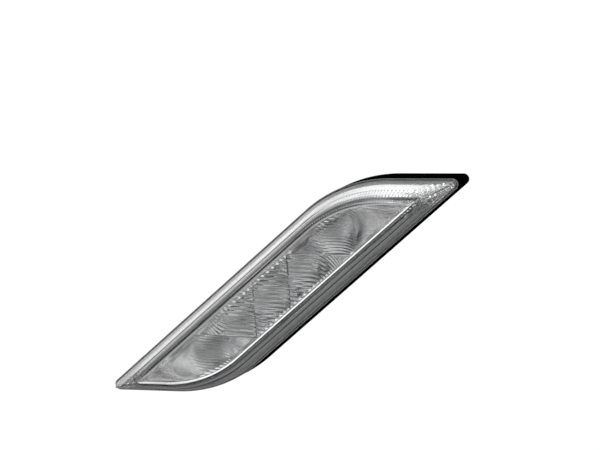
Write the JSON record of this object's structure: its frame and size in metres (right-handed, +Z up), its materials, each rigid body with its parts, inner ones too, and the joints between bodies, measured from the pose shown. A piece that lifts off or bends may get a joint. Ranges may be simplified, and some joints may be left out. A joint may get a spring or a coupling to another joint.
{
  "type": "vehicle reversing light",
  "caption": "Slanted parallelogram reversing light with a clear stepped lens over a metallised bezel and ribbed optic, in a sealed black housing on two rear studs.",
  "frame": {"origin": "centre of the rear mounting face, on the gasket's back", "axes": "+Y points into the vehicle, square to the mounting face, so the lens faces -Y; +X is to the right and +Z is up as seen from in front"},
  "size_m": [0.2494, 0.0576, 0.14],
  "materials": {
    "gasket_rubber": "matt moulded",
    "black_plastic": "semi-gloss moulded",
    "sealant": "cured bead",
    "clear_acrylic": "polished clear",
    "metallised_plastic": "vacuum metallised",
    "clear_optic": "moulded clear, ribbed",
    "board_laminate": "white solder mask",
    "thermal_silicone": "soft filled sheet",
    "plain_aluminium": "mill",
    "led_ceramic": "sintered",
    "led_silicone": "clear dome over phosphor",
    "black_epoxy": "moulded package",
    "ferrite": "pressed",
    "capacitor_ceramic": "fired, tinned ends",
    "plated_steel": "zinc plated",
    "tinned_brass": "tinned",
    "vent_film": "porous film"
  },
  "bodies": {
    "root": {"gasket": "gasket_rubber", "housing": "black_plastic", "lens_seal": "sealant", "outer_lens": "clear_acrylic", "bezel": "metallised_plastic", "rib_optic": "clear_optic", "reflector": "metallised_plastic", "led_board": "board_laminate", "thermal_pad": "thermal_silicone", "heat_spreader": "plain_aluminium", "led_1": "led_ceramic", "led_2": "led_ceramic", "led_3": "led_ceramic", "led_4": "led_ceramic", "led_5": "led_ceramic", "led_dome_1": "led_silicone", "led_dome_2": "led_silicone", "led_dome_3": "led_silicone", "led_dome_4": "led_silicone", "led_dome_5": "led_silicone", "driver_chip": "black_epoxy", "inductor": "ferrite", "input_capacitor": "capacitor_ceramic", "output_capacitor": "capacitor_ceramic", "protection_diode": "black_epoxy", "resistors": "black_epoxy", "board_screws": "plated_steel", "stud_upper": "plated_steel", "stud_lower": "plated_steel", "connector_shell": "black_plastic", "connector_seal": "gasket_rubber", "terminal_1": "tinned_brass", "terminal_2": "tinned_brass", "vent_cap": "black_plastic", "vent_membrane": "vent_film"}
  },
  "joints": []
}
